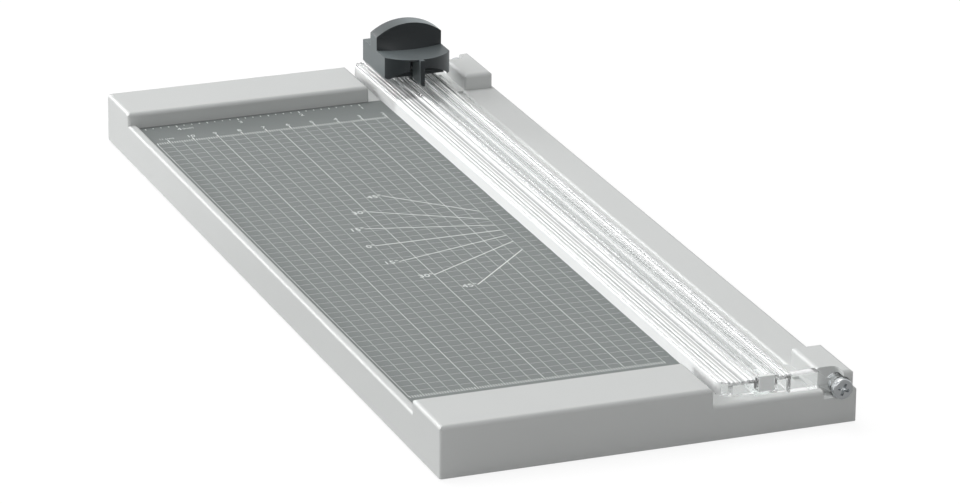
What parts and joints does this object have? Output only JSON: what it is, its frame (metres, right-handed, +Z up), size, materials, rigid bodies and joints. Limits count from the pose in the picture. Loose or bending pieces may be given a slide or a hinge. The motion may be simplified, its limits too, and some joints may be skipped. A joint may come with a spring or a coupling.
{
  "type": "paper trimmer",
  "caption": "Sliding-blade paper trimmer: flat grey base with a printed bed, a clear hinged rail and a dark head with a round blade that runs along it.",
  "frame": {"origin": "on the floor, under the middle of the base", "axes": "+X across the cut, from the bed towards the hinge; +Y along the cut towards the fence; +Z up"},
  "size_m": [0.1544, 0.3762, 0.0417],
  "materials": {
    "shell": "moulded pale grey plastic, fine satin grain",
    "plate": "grey painted sheet steel",
    "zinc": "zinc plated steel",
    "rubber": "moulded black rubber",
    "bed": "printed grey plastic sheet",
    "mat": "soft pale cutting mat",
    "brass": "turned brass",
    "steel": "ground and polished steel",
    "clear": "clear moulded plastic",
    "head": "dark grey moulded plastic"
  },
  "bodies": {
    "base": {"base_housing": "shell", "bottom_plate": "plate", "bottom_screws": "zinc", "rubber_feet": "rubber", "printed_bed": "bed", "cutting_mat": "mat", "threaded_inserts": "zinc", "hinge_bushes": "zinc", "hinge_washers": "zinc", "spring_washers": "steel", "hinge_screws": "zinc"},
    "rail": {"clear_rail": "clear", "grip_strip": "clear", "near_stop": "shell", "far_stop": "shell"},
    "slider": {"slider_deck": "head", "guide_posts": "steel", "post_clips": "steel", "press_springs": "steel"},
    "head": {"head_cover": "head", "blade_fork": "head", "fork_screws": "zinc", "blade_axle": "steel"},
    "blade": {"blade_hub": "brass", "cutting_blade": "steel"}
  },
  "joints": [
    {"name": "rail_hinge", "type": "hinge", "parent": "base", "child": "rail", "pos_m": [0.07105, 0, 0.0142], "axis": [0, 1, 0], "range_deg": [-2.2, 50]},
    {"name": "carriage_slide", "type": "slide", "parent": "rail", "child": "slider", "axis": [0, -1, 0], "range_m": [0, 0.33]},
    {"name": "head_press", "type": "slide", "parent": "slider", "child": "head", "axis": [0, 0, -1], "range_m": [0, 0.0012], "stiffness_N_per_m": 800, "springref_m": -0.002, "deforming": ["press_springs"]},
    {"name": "blade_spin", "type": "hinge", "parent": "head", "child": "blade", "pos_m": [0.04335, 0.1711, 0.02246], "axis": [1, 0, 0], "continuous": true}
  ]
}
